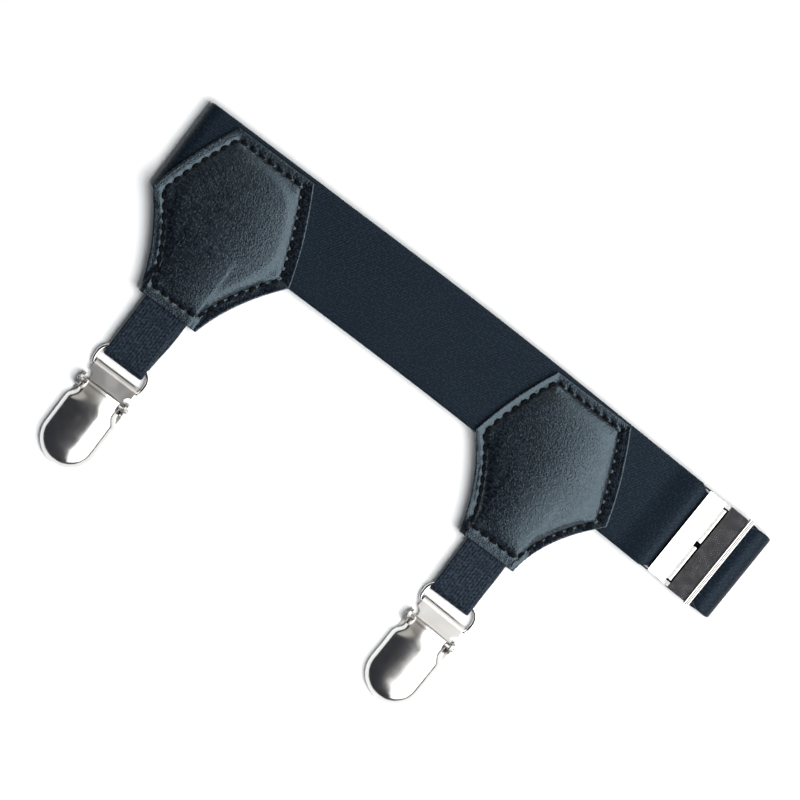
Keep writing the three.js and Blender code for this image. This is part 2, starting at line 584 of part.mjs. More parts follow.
// The origin is the middle of the object's underside
const box = new THREE.Box3().setFromObject(garter);
const centre = box.getCenter(new THREE.Vector3());
garter.position.set(-centre.x, -centre.y, -box.min.z);
export default garter;
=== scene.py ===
import math
import bpy
import numpy as np
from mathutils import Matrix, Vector


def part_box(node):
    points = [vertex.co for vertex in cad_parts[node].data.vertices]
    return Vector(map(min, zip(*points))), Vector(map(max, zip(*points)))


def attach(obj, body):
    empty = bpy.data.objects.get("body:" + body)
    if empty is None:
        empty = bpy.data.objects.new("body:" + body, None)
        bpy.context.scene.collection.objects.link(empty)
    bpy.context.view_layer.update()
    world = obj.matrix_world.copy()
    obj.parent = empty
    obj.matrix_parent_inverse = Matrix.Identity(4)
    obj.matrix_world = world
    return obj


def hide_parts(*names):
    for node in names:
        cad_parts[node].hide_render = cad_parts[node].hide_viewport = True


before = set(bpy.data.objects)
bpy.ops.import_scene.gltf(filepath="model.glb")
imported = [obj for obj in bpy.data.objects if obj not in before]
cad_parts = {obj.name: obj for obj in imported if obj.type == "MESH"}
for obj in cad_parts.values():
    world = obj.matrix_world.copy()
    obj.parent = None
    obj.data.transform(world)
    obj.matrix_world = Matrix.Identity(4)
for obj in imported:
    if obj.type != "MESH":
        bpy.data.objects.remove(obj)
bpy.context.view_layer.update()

# The studio: a white table seen from straight above, turned so that the band runs down to the
# right. One lamp and a weak fill light the cloth and the table. Metal and leather mirror a wide
# white screen on the buckle's side, with a faint stepped edge, and dim beige cards opposite.
MM = 0.001
VIEW_CENTRE = Vector((-6.35, 16.75, 0)) * MM
VIEW_WIDTH = 201 * MM
CAMERA_HEIGHT = 1400 * MM
BAND_TURN = math.radians(37)
FLOOR_SIZE = 12
CEILING, LAMP_DROP = 1.2, 0.1


def softbox(name, low, high, radiance, colour, lights=True, mirrored=True):
    """A level light from corner low to corner high: those that metal mirrors hang highest."""
    (x0, y0), (x1, y1) = low, high
    light = bpy.data.lights.new(name, "AREA")
    light.shape = "RECTANGLE"
    light.size, light.size_y = x1 - x0, y1 - y0
    light.energy = radiance * math.pi * (x1 - x0) * (y1 - y0)
    light.color = colour
    holder = bpy.data.objects.new(name, light)
    holder.location = ((x0 + x1) / 2, (y0 + y1) / 2, CEILING if mirrored else CEILING - LAMP_DROP)
    holder.visible_diffuse = lights
    holder.visible_glossy = mirrored
    holder.visible_camera = False
    bpy.context.scene.collection.objects.link(holder)


softbox("overhead", (0.1, -0.25), (0.75, 0.25), 19, (1, 1, 1), mirrored=False)
SCREEN_FAR = 4.4
# Each row of the screen from y low to high: its dim strip starts at faint, the full screen at near.
SCREEN_ROWS = [
    dict(faint=0.80, near=1.00, low=-2.40, high=-1.60),
    dict(faint=0.50, near=0.66, low=-1.60, high=-1.10),
    dict(faint=0.26, near=0.40, low=-1.10, high=-0.70),
    dict(faint=0.14, near=0.26, low=-0.70, high=-0.46),
    dict(faint=0.06, near=0.17, low=-0.46, high=-0.33),
    dict(faint=0.05, near=0.14, low=-0.33, high=-0.23),
    dict(faint=0.06, near=0.14, low=-0.23, high=-0.15),
    dict(faint=0.11, near=0.17, low=-0.15, high=-0.06),
    dict(faint=0.17, near=0.17, low=-0.06, high=0.24),
    dict(faint=0.09, near=0.14, low=0.24, high=0.31),
    dict(faint=0.02, near=0.08, low=0.31, high=0.38),
    dict(faint=-0.07, near=0.00, low=0.38, high=2.40),
]
for number, row in enumerate(SCREEN_ROWS):
    faint, near, low, high = (row[key] for key in ("faint", "near", "low", "high"))
    softbox(f"screen_{number}", (near, low), (SCREEN_FAR, high), 3.2, (1, 1, 1), lights=False)
    if faint < near:
        softbox(f"screen_edge_{number}", (faint, low), (near, high), 1.1, (1, 1, 1), lights=False)
softbox("far_card", (-3, 0.42), (-0.07, 3), 0.5, (1, 0.96, 0.88), lights=False)
softbox("far_card_edge", (-3, 0.3), (-0.07, 0.42), 0.16, (1, 0.96, 0.9), lights=False)
softbox("fill", (-3.2, -2.0), (-0.1, 2.0), 0.14, (0.85, 0.96, 1), mirrored=False)

world = bpy.data.worlds.new("studio")
world.use_nodes = True
world.node_tree.nodes["Background"].inputs["Color"].default_value = (0.036, 0.038, 0.046, 1)
bpy.context.scene.world = world

camera = bpy.data.objects.new("camera", bpy.data.cameras.new("camera"))
camera.data.angle = 2 * math.atan(VIEW_WIDTH / 2 / CAMERA_HEIGHT)
camera.location = VIEW_CENTRE + Vector((0, 0, CAMERA_HEIGHT))
camera.rotation_euler = (0, 0, BAND_TURN)
bpy.context.scene.collection.objects.link(camera)
bpy.context.scene.camera = camera
bpy.context.scene.view_settings.view_transform = "Standard"

floor_mesh = bpy.data.meshes.new("floor")
reach = FLOOR_SIZE / 2
floor_mesh.from_pydata([(-reach, -reach, 0), (reach, -reach, 0), (reach, reach, 0), (-reach, reach, 0)],
                       [], [(0, 1, 2, 3)])
floor = bpy.data.objects.new("floor", floor_mesh)
floor_finish = bpy.data.materials.new("white_table")
floor_finish.use_nodes = True
floor_inputs = floor_finish.node_tree.nodes["Principled BSDF"].inputs
floor_inputs["Base Color"].default_value = (0.93, 0.94, 0.94, 1)
floor_inputs["Roughness"].default_value = 0.9
floor_inputs["Specular IOR Level"].default_value = 0.1
floor.data.materials.append(floor_finish)
bpy.context.scene.collection.objects.link(floor)

# Elastic band: one tape of near black ribbed elastic, 26 mm wide. From its sewn end round the
# hook's bar it runs along the front, round the left fold, back under, up round the right fold and
# round the slide's bar.
# Places are in millimetres: x from the band's left end, y from about its lower edge and z from
# the table.
START_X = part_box("elastic_band")[0].x / MM
LEFT_PATCH_TOP = 24.75
START_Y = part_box("patch_front_left")[1].y / MM - LEFT_PATCH_TOP
GAP = 0.3
BAND_WALL = 1.3
BAND_HALF = 13.0
BAND_THREADED_HALF = 12.0
BAND_FOLD_NARROWS = 0.25
BAND_LENGTH = 177.5
LEG_GAP = 4.6
FRONT_Z = 1.5 * BAND_WALL + LEG_GAP
BAND_CENTRE = 12.9
BEND_START, BEND_END, BEND_ANGLE = 65.0, 115.0, 0.035
HOOK_X, HOOK_Z, HOOK_RADIUS = 155.4, 6.0, 0.7
SLIDE_X, SLIDE_Z, SLIDE_RADIUS = 168.0, 3.9, 0.6
BETWEEN_BARS, FOLD_START = 163.0, 173.0
SEWN_TAIL, HOOK_RISE, SLIDE_DIP, LOOSE_GAP = 6.4, 8.5, 3.6, 1.2


class Surface:
    """One value over a surface, the output of a shader node. Sums and products add Math nodes."""

    def __init__(self, tree, socket=None):
        self.tree = tree
        self.socket = socket

    def node(self, kind, inputs=(), output=0, **settings):
        """Adds a node: settings first, then its inputs, each a plain value or a Surface."""
        made = self.tree.nodes.new(kind)
        for name, value in settings.items():
            setattr(made, name, value)
        for key, value in dict(inputs).items():
            if isinstance(value, Surface):
                self.tree.links.new(value.socket, made.inputs[key])
            else:
                made.inputs[key].default_value = value
        return Surface(self.tree, made.outputs[output])

    def maths(self, operation, *values):
        return self.node("ShaderNodeMath", enumerate(values), operation=operation)

    def __add__(self, other):
        return self.maths("ADD", self, other)

    def __sub__(self, other):
        return self.maths("SUBTRACT", self, other)

    def __rsub__(self, other):
        return self.maths("SUBTRACT", other, self)

    def __mul__(self, other):
        return self.maths("MULTIPLY", self, other)

    __radd__ = __add__
    __rmul__ = __mul__

    def sine(self):
        return self.maths("SINE", self)

    def between(self, low, high, new_low=0.0, new_high=1.0):
        """The stretch from low to high, eased, becomes new_low to new_high."""
        return self.node("ShaderNodeMapRange", {0: self, 1: low, 2: high, 3: new_low, 4: new_high},
                         interpolation_type="SMOOTHSTEP")

    def tint(self, dark, light):
        """Mixes two colours: dark at 0, light at 1."""
        return self.node("ShaderNodeMix", {0: self, 6: (*dark, 1), 7: (*light, 1)}, output=2,
                         data_type="RGBA")

    def noise(self, place, scale, detail=3.0, roughness=0.5):
        return self.node("ShaderNodeTexNoise", {"Vector": place, "Scale": scale, "Detail": detail,
                                                "Roughness": roughness})

    def stretched(self, place, factors):
        return self.node("ShaderNodeVectorMath", {0: place, 1: factors}, operation="MULTIPLY")

    def in_millimetres(self):
        """A place on the object in millimetres."""
        place = self.node("ShaderNodeTexCoord", output="Object")
        return self.stretched(place, (1 / MM, 1 / MM, 1 / MM))


def finish(name, varying, **fixed):
    """A material: varying gives the inputs that change over the surface, fixed the others."""
    material = bpy.data.materials.new(name)
    material.use_nodes = True
    tree = material.node_tree
    shader = tree.nodes["Principled BSDF"]
    for key, value in fixed.items():
        shader.inputs[key.replace("_", " ")].default_value = value
    for key, value in varying(Surface(tree)).items():
        tree.links.new(value.socket, shader.inputs[key])
    return material


def woven(surface, pitch, dark, light, fleck):
    """Elastic cloth: ribs along the tape crossed by picks, with flecks where the rubber shows."""
    place = surface.node("ShaderNodeUVMap", uv_map="tape")
    along = surface.node("ShaderNodeSeparateXYZ", {0: place})
    across = Surface(surface.tree, along.socket.node.outputs[1])
    turn = 2 * math.pi / pitch
    rib = (across * turn).sine() * 0.5 + 0.5
    pick = (along * turn * 0.8 + across * turn * 0.5).sine()
    weave = rib * 0.55 + (pick * 0.5 + 0.5) * 0.45
    loose = surface.noise(place, 1.1 / pitch, 2.0)
    broad = surface.noise(place, 0.09, 2.0)
    shade = weave * 0.45 + loose.between(0.44, 0.64) * fleck + (broad - 0.5) * 0.3
    height = weave * 0.6 + loose * 0.9
    bump = surface.node("ShaderNodeBump", {"Strength": 0.6, "Distance": 0.16 * MM, "Height": height})
    return {"Base Color": shade.tint(dark, light), "Normal": bump}


def faces_between(start, rings, around, closed):
    """Quads between neighbouring rings of points, numbered from start."""
    count = rings if closed else rings - 1
    ring, point = np.meshgrid(np.arange(count), np.arange(around), indexing="ij")
    after, following = (ring + 1) % rings, (point + 1) % around
    return (start + np.stack([ring * around + point, ring * around + following,
                              after * around + following, after * around + point], -1)).reshape(-1, 4)


def capped(start, rings, around):
    """Faces of a closed rod or tape, numbered from start: its rings joined and both ends covered."""
    last = start + (rings - 1) * around
    return faces_between(start, rings, around, False).tolist() + [
        list(range(start, start + around))[::-1], list(range(last, last + around))]


def new_piece(name, points, faces, material, body, uv=None):
    """A mesh from points in millimetres in the plane of the drawing, moved into the frame."""
    moved = (np.asarray(points) + (START_X, START_Y, 0)) * MM
    mesh = bpy.data.meshes.new(name)
    mesh.from_pydata(moved.tolist(), [], [list(face) for face in faces])
    mesh.polygons.foreach_set("use_smooth", [True] * len(mesh.polygons))
    if uv is not None:
        corners = np.zeros(len(mesh.loops), int)
        mesh.loops.foreach_get("vertex_index", corners)
        mesh.uv_layers.new(name="tape").data.foreach_set("uv", np.asarray(uv)[corners].ravel())
    mesh.materials.append(material)
    piece = bpy.data.objects.new(name, mesh)
    bpy.context.scene.collection.objects.link(piece)
    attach(piece, body)
    return piece


def arc(x, z, radius, start, end, steps=28):
    """Points round a centre, from one angle to the other in degrees."""
    angles = np.radians(np.linspace(start, end, steps))
    return np.stack([x + radius * np.cos(angles), z + radius * np.sin(angles)], -1)


def sweep(*corners, steps=24):
    """A smooth curve from the first corner to the last, drawn towards the two between."""
    t = np.linspace(0, 1, steps)[:, None]
    a, b, c, d = (np.array(corner, float) for corner in corners)
    return a * (1 - t) ** 3 + 3 * b * t * (1 - t) ** 2 + 3 * c * t ** 2 * (1 - t) + d * t ** 3


def spaced(points, step):
    """The same line with points at an even step, and the distance of each along it."""
    points = points[np.r_[True, np.linalg.norm(np.diff(points, axis=0), axis=1) > 1e-6]]
    lengths = np.r_[0, np.cumsum(np.linalg.norm(np.diff(points, axis=0), axis=1))]
    run = np.linspace(0, lengths[-1], int(lengths[-1] / step) + 2)
    return np.stack([np.interp(run, lengths, points[:, i]) for i in range(points.shape[1])], -1), run


def tape_rings(line, half, wall, columns=18):
    """Cross-sections of a tape with rounded selvedges: along, across and up for each point."""
    ahead = np.gradient(line, axis=0)
    ahead /= np.linalg.norm(ahead, axis=1)[:, None]
    normal = np.stack([-ahead[:, 1], ahead[:, 0]], -1)
    radius = wall / 2
    side = np.linspace(-1, 1, columns)
    bow = np.radians(np.linspace(90, -90, 7))
    flat, round_out, round_up = np.ones(columns), np.cos(bow[1:-1]), np.sin(bow[1:-1])
    selvedge = np.ones(len(round_out))
    across = np.r_[side, selvedge, side[::-1], -selvedge]
    edge = np.r_[flat * 0, round_out, flat * 0, -round_out]
    lift = np.r_[flat, round_up, -flat, round_up[::-1]]
    width = across[None] * (half[:, None] - radius) + edge[None] * radius
    centre = line[:, None, :] + normal[:, None, :] * (lift * radius)[None, :, None]
    return centre[..., 0], width, centre[..., 1]


def on_band(along, across, up):
    """The band's centre line bends slightly in its plane, as it lies in the photograph."""
    radius = (BEND_END - BEND_START) / BEND_ANGLE
    angle = np.clip((along - BEND_START) / radius, 0, BEND_ANGLE)
    past = np.maximum(along - BEND_END, 0)
    x = np.minimum(along, BEND_START) + (radius + across) * np.sin(angle) + past * np.cos(angle)
    y = BAND_CENTRE - radius * (1 - np.cos(angle)) - past * np.sin(angle) + across * np.cos(angle)
    return np.stack([x, y, up + 0 * x], -1)


def tape_piece(name, rings, run, material, body, across):
    """Closes the tape's cross-sections into one skin and keeps the weave's own coordinates."""
    count, around = rings.shape[:2]
    uv = np.stack([np.repeat(run, around), across.reshape(-1)], -1)
    return new_piece(name, rings.reshape(-1, 3), capped(0, count, around), material, body, uv)


def band_route():
    """The band's centre line from the side: along and up, from the sewn end to the loose tail."""
    back = BAND_WALL / 2
    fold = (FRONT_Z - back) / 2
    left, right = BAND_WALL / 2 + fold, BAND_LENGTH - BAND_WALL / 2 - fold
    hook_wrap = HOOK_RADIUS + GAP + BAND_WALL / 2
    slide_wrap = SLIDE_RADIUS + GAP + BAND_WALL / 2
    hook_top, hook_under = HOOK_Z + hook_wrap, HOOK_Z - hook_wrap
    slide_top, slide_under = SLIDE_Z + slide_wrap, SLIDE_Z - slide_wrap
    tail = FRONT_Z - BAND_WALL
    rise = HOOK_X - HOOK_RISE
    return np.concatenate([
        sweep((HOOK_X - SEWN_TAIL, tail - 0.05), (HOOK_X - 4, tail), (HOOK_X - 2.5, hook_under),
              (HOOK_X, hook_under)),
        arc(HOOK_X, HOOK_Z, hook_wrap, -90, 90),
        sweep((HOOK_X, hook_top), (HOOK_X - 3, hook_top), (rise + 3, FRONT_Z), (rise, FRONT_Z)),
        arc(left, back + fold, fold, 90, 270),
        arc(right, back + fold, fold, -90, 90),
        sweep((right, FRONT_Z), (right - 1.8, FRONT_Z), (right - 2, slide_top),
              (right - SLIDE_DIP, slide_top)),
        arc(SLIDE_X, SLIDE_Z, slide_wrap, 90, 270),
        [(right - LOOSE_GAP, slide_under)],
    ])


band_line, band_run = spaced(band_route(), 0.8)
line_x, line_z = band_line.T
near_hook = (line_x > HOOK_X + 0.8) & (line_x < BETWEEN_BARS)
near_slide = (line_x > BETWEEN_BARS) & (line_x < FOLD_START) & (line_z > LEG_GAP / 2)
band_half = np.where(near_hook | near_slide, BAND_THREADED_HALF,
                     BAND_HALF - BAND_FOLD_NARROWS * (line_x > FOLD_START))
band_half = np.convolve(np.pad(band_half, 1, mode="edge"), [0.25, 0.5, 0.25], mode="valid")
band_x, band_across, band_z = tape_rings(band_line, band_half, BAND_WALL)
COOL_SHEEN = (0.66, 0.87, 1, 1)
band_cloth = finish(
    "band_elastic",
    lambda surface: woven(surface, 0.62, (0.0008, 0.0022, 0.0052), (0.0095, 0.016, 0.026), 0.65),
    Roughness=0.45, Specular_IOR_Level=0.16, Specular_Tint=COOL_SHEEN)
band = tape_piece("woven_band", on_band(band_x, band_across, band_z), band_run,
                  band_cloth, "band", band_across)
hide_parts("elastic_band")

# Leather patches: two six-sided layers of pebbled black leather, sewn together round the edge over
# the band and the strap with waxed thread. The front one is puffed inside its seam, and its margin
# outside the seam turns up a little.
LEATHER_WALL = 1.2
CORNER_Y = 0.2
UPPER_BOW = 0.85
CHANNEL_HALF = 7.0
OVER_STRAP = 0.8 + 1.5 * GAP
STITCH_PITCH, STITCH_LENGTH, THREAD_RADIUS = 2.75, 2.1, 0.42
GROOVE_DEPTH, STITCH_PULL, GROOVE_HALF = 0.22, 0.3, 0.55
EDGE_RADIUS, EDGE_PUFF, EDGE_PUFF_REACH = 0.4, 0.6, 0.8
MIDDLE_PUFF, SWELL_REACH, CORNER_ROUNDING = 1.4, 8.0, 3.0
THREAD_LIFT, THREAD_DIP = 0.2, 0.75
FILL_REACH = 2.6
SAG_SLOPE, SAG_EASE = 0.11, 8.0
CLOSING_STARTS, CLOSED = 1.6, 4.5
FRONT_STEP, BACK_STEP, BACK_START = 0.48, 0.9, 3.3
# For each side: the outline's corners, how far its lower edges bow in, the seam's width and the
# margin's height along the six sides, and the puff, which gets fuller to the right by lean. Then
# the strap's middle, fold and slip, and the clip's middle, rolled eye and turn.
SIDES = {
    "left": dict(
        top_y=LEFT_PATCH_TOP, bottom_y=-22.8, top=(9.7, 33), corner=(1, 43.75), bottom=(13.85, 31.45),
        lower_bow=(1.7, 1.7), seams=(2.6, 2.6, 3.0, 2.6, 2.8, 2.4),
        margins=(0.15, 0.1, 0.25, 0.5, 0.5, 0.3), puff=0.8, lean=0.03,
        strap_x=21.9, fold_y=-40.8, shift=0.9, clip_x=22.2, roll_y=-44.1, turn=0.0),
    "right": dict(
        top_y=23.9, bottom_y=-22.8, top=(110, 132.8), corner=(102.1, 142.9), bottom=(114.15, 130.95),
        lower_bow=(1.7, 2.5), seams=(2.0, 2.1, 3.1, 1.6, 2.7, 2.1),
        margins=(0.5, 0.2, 0.25, 0.5, 0.5, 0.3), puff=1.4, lean=0.02,
        strap_x=122.8, fold_y=-38.65, shift=0.2, clip_x=123.7, roll_y=-42.35, turn=-0.035),
}


def eased(value, low, high):
    """From 0 at low to 1 at high, level at both ends."""
    t = np.clip((value - low) / (high - low), 0, 1)
    return t * t * (3 - 2 * t)


def sag(y):
    """Patches and straps sink from the band's front layer towards the table."""
    below = np.maximum(-y, 0)
    return FRONT_Z - SAG_SLOPE * np.where(below < SAG_EASE, below ** 2 / (2 * SAG_EASE),
                                          below - SAG_EASE / 2)


def patch_edge(row, y, end):
    """X of the left (0) or right (1) edge: bowed out above the side corner, in below it."""
    upper = y > CORNER_Y
    t = np.where(upper, (y - CORNER_Y) / (row["top_y"] - CORNER_Y),
                 (CORNER_Y - y) / (CORNER_Y - row["bottom_y"]))
    bow = 4 * t * (1 - t) * np.where(upper, UPPER_BOW, -row["lower_bow"][end])
    corner, side = row["corner"][end], np.where(upper, row["top"][end], row["bottom"][end])
    return corner + t * (side - corner) + (2 * end - 1) * bow


def patch_outline(row):
    """The six sides, each a line of points, in order round the patch from its top left corner."""
    upper = np.linspace(row["top_y"], CORNER_Y, 70)
    lower = np.linspace(CORNER_Y, row["bottom_y"], 70)

    def edge(y, end):
        return np.stack([patch_edge(row, y, end), y], -1)

    def across(y):
        return np.linspace(edge(y, 1), edge(y, 0), 50)

    return [edge(upper, 0), edge(lower, 0), across(lower[-1])[::-1],
            edge(lower, 1)[::-1], edge(upper, 1)[::-1], across(upper[0])]


def nearest(places, line):
    """Distance from each place to a line's points, and which point is nearest."""
    gaps = np.linalg.norm(places[:, None] - line[None], axis=2)
    return gaps.min(1), gaps.argmin(1)


def inner_reach(row, x, y):
    """How far a leather layer's inside is from the middle: over band or strap, or closed."""
    below = eased(-y, CLOSING_STARTS, CLOSED)
    channel = 1 - eased(np.abs(x - row["strap_x"]), CHANNEL_HALF, CHANNEL_HALF + 2)
    beside = BAND_WALL / 2 + GAP + below * (GAP / 2 - BAND_WALL / 2 - GAP)
    return beside + channel * np.minimum(1, 2 * below) * (OVER_STRAP - beside)


def past_seam(row, places):
    """Distance from the edge, height of that side's margin, and distance inside the stitch line:
    exact and with rounded corners."""
    gaps = np.stack([nearest(places, side)[0] for side in patch_outline(row)])
    past = gaps - np.array(row["seams"])[:, None]
    margin = np.array(row["margins"])[gaps.argmin(0)]
    rounded = -CORNER_ROUNDING * np.log(np.exp(-past / CORNER_ROUNDING).sum(0))
    return gaps.min(0), margin, past.min(0), rounded


def seam_route(row):
    """The stitch line: each side set in by its own seam width and cut where it meets the next."""
    sides = []
    for side, width in zip(patch_outline(row), row["seams"]):
        ahead = np.gradient(side, axis=0)
        ahead /= np.linalg.norm(ahead, axis=1)[:, None]
        inset = side + width * np.stack([-ahead[:, 1], ahead[:, 0]], -1)
        kept = inset[past_seam(row, inset)[2] > -0.04]
        sides.append(spaced(kept, 0.1))
    return sides


def stitch_count(run):
    """Each side holds a whole number of stitches."""
    return round(run[-1] / STITCH_PITCH)


def patch_top(row, x, y, seams):
    """Height of the front leather: rolled edge, raised margin, sunk seam and puffed middle."""
    places = np.stack([x, y], -1)
    inset, margin, past, smooth = past_seam(row, places)
    stitched = np.concatenate([line for line, _ in seams])
    phase = np.concatenate([2 * math.pi * stitch_count(run) * run / run[-1] for _, run in seams])
    off_seam, at = nearest(places, stitched)
    scallop = 0.5 + 0.5 * np.cos(phase[at])
    groove = (GROOVE_DEPTH + STITCH_PULL * scallop) * np.exp(-(off_seam / GROOVE_HALF) ** 2)
    inside = np.maximum(past, 0)
    margin = margin * (1 - inset / (inset + np.maximum(-past, 0) + 1e-6)) ** 1.8
    rolled = EDGE_RADIUS * (1 - np.sqrt(1 - np.clip(1 - inset / EDGE_RADIUS, 0, 1) ** 2))
    swell = 1 - np.exp(-((np.maximum(smooth, 0) / SWELL_REACH) ** 1.25))
    fuller = 1 + row["lean"] * (x - sum(row["corner"]) / 2)
    rounded = EDGE_PUFF * (1 - np.exp(-inside / EDGE_PUFF_REACH))
    puff = row["puff"] * fuller * (rounded + MIDDLE_PUFF * swell)
    fill = OVER_STRAP * eased(smooth, -FILL_REACH, FILL_REACH)
    beneath = inner_reach(row, x, y)
    reach = (beneath ** 8 + fill ** 8) ** 0.125
    return sag(y) + reach + LEATHER_WALL + margin + puff - groove - rolled


def patch_grid(row, step, start=-np.inf):
    """Rows and columns over the patch, closer together at the edge where the leather rolls over."""
    close = np.array([0, 0.1, 0.24, 0.42, 0.66])

    def stations(low, high):
        inner = np.linspace(low + 1, high - 1, int((high - low) / step))
        return np.concatenate([low + close, inner, high - close[::-1]])

    ys = np.concatenate([stations(row["bottom_y"], CORNER_Y)[:-1], stations(CORNER_Y, row["top_y"])])
    t = np.linspace(0, 1, int((row["corner"][1] - row["corner"][0]) / step))[None]
    left = np.maximum(patch_edge(row, ys, 0), start)[:, None]
    right = patch_edge(row, ys, 1)[:, None]
    inner = left + 1 + t * (right - left - 2)
    xs = np.concatenate([left + close[None], inner, right - close[::-1][None]], 1)
    return xs, np.repeat(ys[:, None], xs.shape[1], 1)


def sheet_faces(rows, columns):
    """A closed sheet: an upper and a lower grid, with walls round the rim."""
    index = np.arange(rows * columns).reshape(rows, columns)
    quads = np.stack([index[:-1, :-1], index[:-1, 1:], index[1:, 1:], index[1:, :-1]], -1)
    quads = quads.reshape(-1, 4)
    rim = np.concatenate([index[0, :-1], index[:-1, -1], index[-1, :0:-1], index[:0:-1, 0]])
    below = rim + rows * columns
    walls = np.stack([np.roll(rim, -1), rim, below, np.roll(below, -1)], -1)
    return np.concatenate([quads, quads[:, ::-1] + rows * columns, walls])


def pebbled(surface):
    """Black leather: small rounded pebbles with creases between them, the creases painted darker as
    shade, and a softer broad change in gloss.
    """
    place = surface.in_millimetres()
    pebble = surface.node("ShaderNodeTexVoronoi", {"Vector": place, "Scale": 1.6},
                          feature="DISTANCE_TO_EDGE")
    crease = pebble.between(0.0, 0.3)
    fine = surface.noise(place, 1.6, 2.0, 0.6)
    broad = surface.noise(place, 0.12, 2.0)
    height = crease * 0.3 + fine
    bump = surface.node("ShaderNodeBump", {"Strength": 0.9, "Distance": 0.095 * MM, "Height": height})
    # The colour darkens in the creases between pebbles: painted shade. The fine noise is the leather's
    # own speckle.
    shade = (crease * 0.35 + 0.65) * fine.between(0.42, 0.62)
    rough = 0.2 + (1 - fine.between(0.4, 0.65)) * 0.07 + (broad - 0.5) * 0.06
    return {"Base Color": shade.tint((0.0001, 0.0004, 0.0012), (0.0165, 0.022, 0.0325)),
            "Roughness": rough, "Normal": bump}


def thread(surface):
    """Waxed black thread, slightly fluffy."""
    place = surface.in_millimetres()
    fine = surface.noise(surface.stretched(place, (3.0, 3.0, 3.0)), 3.0, 2.0)
    bump = surface.node("ShaderNodeBump", {"Strength": 0.5, "Distance": 0.08 * MM, "Height": fine})
    return {"Base Color": fine.tint((0.001, 0.001, 0.0015), (0.004, 0.0045, 0.006)), "Normal": bump}


patch_leather = finish("pebbled_leather", pebbled, Specular_IOR_Level=0.8, Specular_Tint=COOL_SHEEN)
patch_thread = finish("waxed_thread", thread, Roughness=0.75, Specular_IOR_Level=0.1)


def leather_layer(name, xs, ys, top, under):
    """One layer of leather, between its upper and its lower face."""
    points = np.concatenate([np.stack([xs.ravel(), ys.ravel(), height], -1) for height in (top, under)])
    return new_piece(name, points, sheet_faces(*xs.shape), patch_leather, "band")


def stitches(row, seams):
    """Thread loops along the seam, each dipping into the leather at both ends."""
    u = np.linspace(-1, 1, 9)[:, None]
    around = np.radians(np.arange(0, 360, 45))[None]
    points, faces = [], []
    for line, run in seams:
        count = stitch_count(run)
        pitch = run[-1] / count
        for k in range(count):
            middle = (k + 0.5) * pitch
            before, after = (np.array([np.interp(middle + d, run, line[:, i]) for i in range(2)])
                             for d in (-0.5, 0.5))
            centre, ahead = (before + after) / 2, after - before
            ahead /= np.linalg.norm(ahead)
            base = patch_top(row, centre[:1], centre[1:], seams)[0]
            radius = THREAD_RADIUS * (1 - 0.3 * u ** 4) * (1 + 0.08 * np.sin(9 * u + 2 * around))
            lift = base + THREAD_LIFT - THREAD_DIP * np.abs(u) ** 3
            x = centre[0] + ahead[0] * u * STITCH_LENGTH / 2 - ahead[1] * radius * np.cos(around)
            y = centre[1] + ahead[1] * u * STITCH_LENGTH / 2 + ahead[0] * radius * np.cos(around)
            z = lift + radius * np.sin(around)
            start = len(points) * z.size
            points.append(np.stack([x, y, z], -1).reshape(-1, 3))
            faces += [face[::-1] for face in capped(start, *z.shape)]
    return np.concatenate(points), faces


for side, row in SIDES.items():
    seams = seam_route(row)
    xs, ys = patch_grid(row, FRONT_STEP)
    flat_x, flat_y = xs.ravel(), ys.ravel()
    top = patch_top(row, flat_x, flat_y, seams)
    under = sag(flat_y) + inner_reach(row, flat_x, flat_y)
    front = leather_layer(f"leather_front_{side}", xs, ys, top, under)
    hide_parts(f"patch_front_{side}")
    xs, ys = patch_grid(row, BACK_STEP, start=BACK_START)
    flat_x, flat_y = xs.ravel(), ys.ravel()
    top = sag(flat_y) - inner_reach(row, flat_x, flat_y)
    back = leather_layer(f"leather_back_{side}", xs, ys, top, top - LEATHER_WALL)
    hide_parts(f"patch_back_{side}")
    loops, loop_faces = stitches(row, seams)
    new_piece(f"seam_thread_{side}", loops, loop_faces, patch_thread, "band")

# Clip straps: a 12 mm elastic tape, doubled round the ring, both ends sewn into the patch. Its
# weave is coarser than the band's, with grey flecks. The lower layer lies slipped a little sideways.
STRAP_HALF, STRAP_WALL, STRAP_START = 5.9, 0.8, -2.0
STRAP_OPENS = 26.0
WIRE_RADIUS = 0.55
strap_cloth = finish(
    "strap_elastic",
    lambda surface: woven(surface, 0.8, (0.001, 0.0026, 0.0055), (0.0175, 0.0245, 0.038), 0.85),
    Roughness=0.45, Specular_IOR_Level=0.2, Specular_Tint=COOL_SHEEN)


def strap_route(row):
    """The strap's centre line from the side: down the upper layer, round the ring and back."""
    loop = WIRE_RADIUS + GAP + STRAP_WALL / 2
    flat = (STRAP_WALL + GAP) / 2
    centre = row["fold_y"] + STRAP_WALL / 2 + loop
    y = np.linspace(STRAP_START, centre, 60)
    spread = flat + (loop - flat) * eased(-y, STRAP_OPENS, -centre - 2)
    upper = np.stack([-y, sag(y) + spread], -1)
    lower = np.stack([-y, sag(y) - spread], -1)
    return np.concatenate([upper, arc(-centre, sag(centre), loop, 90, -90, 20), lower[::-1]])


for side, row in SIDES.items():
    line, run = spaced(strap_route(row), 0.5)
    along, across, up = tape_rings(line, np.full(len(line), STRAP_HALF), STRAP_WALL, columns=12)
    lower = eased(run, run[-1] * 0.46, run[-1] * 0.54)[:, None]
    slip = row["shift"] * lower * (1 - eased(along, STRAP_OPENS, -row["fold_y"] - 1.6))
    rings = np.stack([row["strap_x"] + across + slip, -along, up], -1)[:, ::-1]
    strap = tape_piece(f"woven_strap_{side}", rings, run, strap_cloth, "band",
                       across[:, ::-1])
    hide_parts(f"clip_strap_{side}")

